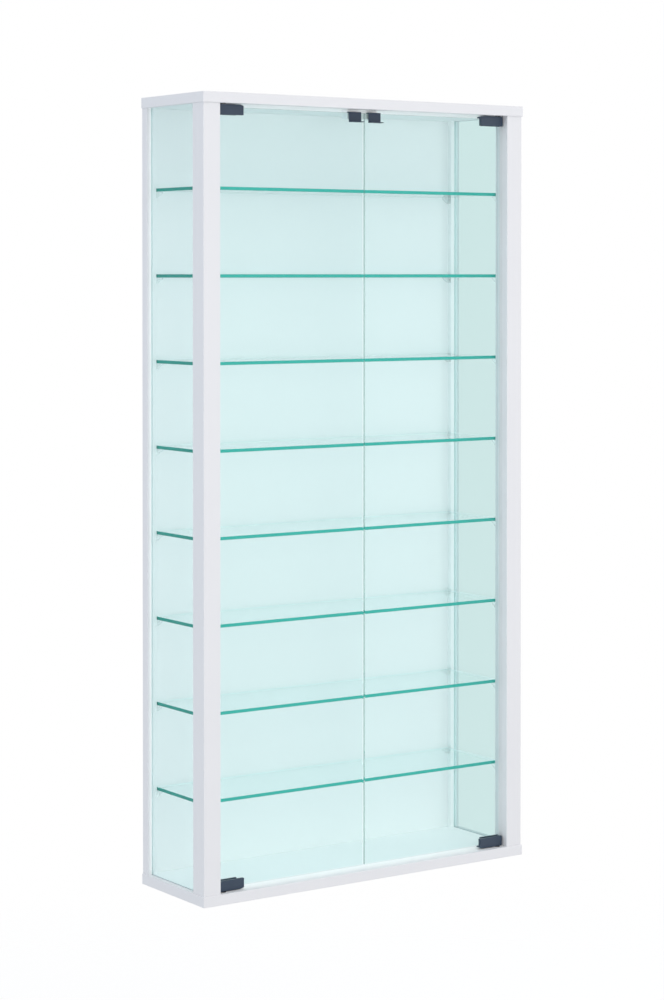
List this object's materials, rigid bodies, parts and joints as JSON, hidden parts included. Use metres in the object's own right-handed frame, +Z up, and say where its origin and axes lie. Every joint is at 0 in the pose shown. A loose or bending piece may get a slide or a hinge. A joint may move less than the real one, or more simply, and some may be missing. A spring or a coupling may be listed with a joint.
{
  "type": "wall display cabinet",
  "caption": "Shallow wall-hung display cabinet with white boards and posts, glass sides, glass shelves and paired inset glass doors on corner pivots.",
  "frame": {"origin": "midway between the entry holes of the keyhole wall hangers, on the wall plane", "axes": "+Z up, +Y towards the wall, +X to the viewer's right when facing the doors"},
  "size_m": [0.6, 0.18, 1.2],
  "materials": {
    "white_board": "white melamine foil on particle board, satin",
    "white_back": "white lacquered hardboard, matt",
    "side_glass": "clear float glass, polished arrises",
    "door_glass": "clear float glass, polished arrises",
    "shelf_glass": "clear float glass with green-blue edges",
    "clear_plastic": "clear moulded plastic",
    "screw_steel": "zinc plated",
    "white_cap": "white plastic",
    "dowel_wood": "beech",
    "dark_nylon": "black nylon",
    "catch_plastic": "white plastic",
    "magnet_steel": "plated magnet face",
    "hanger_steel": "zinc plated",
    "hinge_finish": "dark slate powder coat",
    "grip_rubber": "thin dark rubber",
    "dark_screw": "blackened steel",
    "clip_finish": "dark slate powder coat"
  },
  "bodies": {
    "carcass": {"top_panel": "white_board", "bottom_panel": "white_board", "front_post_left": "white_board", "front_post_right": "white_board", "rear_post_left": "white_board", "rear_post_right": "white_board", "back_panel": "white_back", "side_glass_left": "side_glass", "side_glass_right": "side_glass", "shelf_1": "shelf_glass", "shelf_2": "shelf_glass", "shelf_3": "shelf_glass", "shelf_4": "shelf_glass", "shelf_5": "shelf_glass", "shelf_6": "shelf_glass", "shelf_7": "shelf_glass", "shelf_8": "shelf_glass", "shelf_supports_1": "clear_plastic", "shelf_supports_2": "clear_plastic", "shelf_supports_3": "clear_plastic", "shelf_supports_4": "clear_plastic", "shelf_supports_5": "clear_plastic", "shelf_supports_6": "clear_plastic", "shelf_supports_7": "clear_plastic", "shelf_supports_8": "clear_plastic", "post_screws": "screw_steel", "screw_caps": "white_cap", "post_dowels": "dowel_wood", "pivot_bushes": "dark_nylon", "magnet_catch_housing": "catch_plastic", "catch_magnets": "magnet_steel", "catch_screws": "screw_steel", "hanger_plate_left": "hanger_steel", "hanger_plate_right": "hanger_steel", "hanger_screws": "screw_steel"},
    "left_door": {"door_glass_left": "door_glass", "hinge_clamp_left_top": "hinge_finish", "hinge_clamp_left_bottom": "hinge_finish", "hinge_liners_left": "grip_rubber", "hinge_set_screws_left": "dark_screw", "hinge_pins_left": "screw_steel", "strike_clip_left": "clip_finish", "strike_pads_left": "grip_rubber"},
    "right_door": {"door_glass_right": "door_glass", "hinge_clamp_right_top": "hinge_finish", "hinge_clamp_right_bottom": "hinge_finish", "hinge_liners_right": "grip_rubber", "hinge_set_screws_right": "dark_screw", "hinge_pins_right": "screw_steel", "strike_clip_right": "clip_finish", "strike_pads_right": "grip_rubber"}
  },
  "joints": [
    {"name": "left_door_swing", "type": "hinge", "parent": "carcass", "child": "left_door", "pos_m": [-0.2585, -0.1669, 0], "axis": [0, 0, -1], "range_deg": [0, 110]},
    {"name": "right_door_swing", "type": "hinge", "parent": "carcass", "child": "right_door", "pos_m": [0.2585, -0.1669, 0], "axis": [0, 0, 1], "range_deg": [0, 110]}
  ]
}
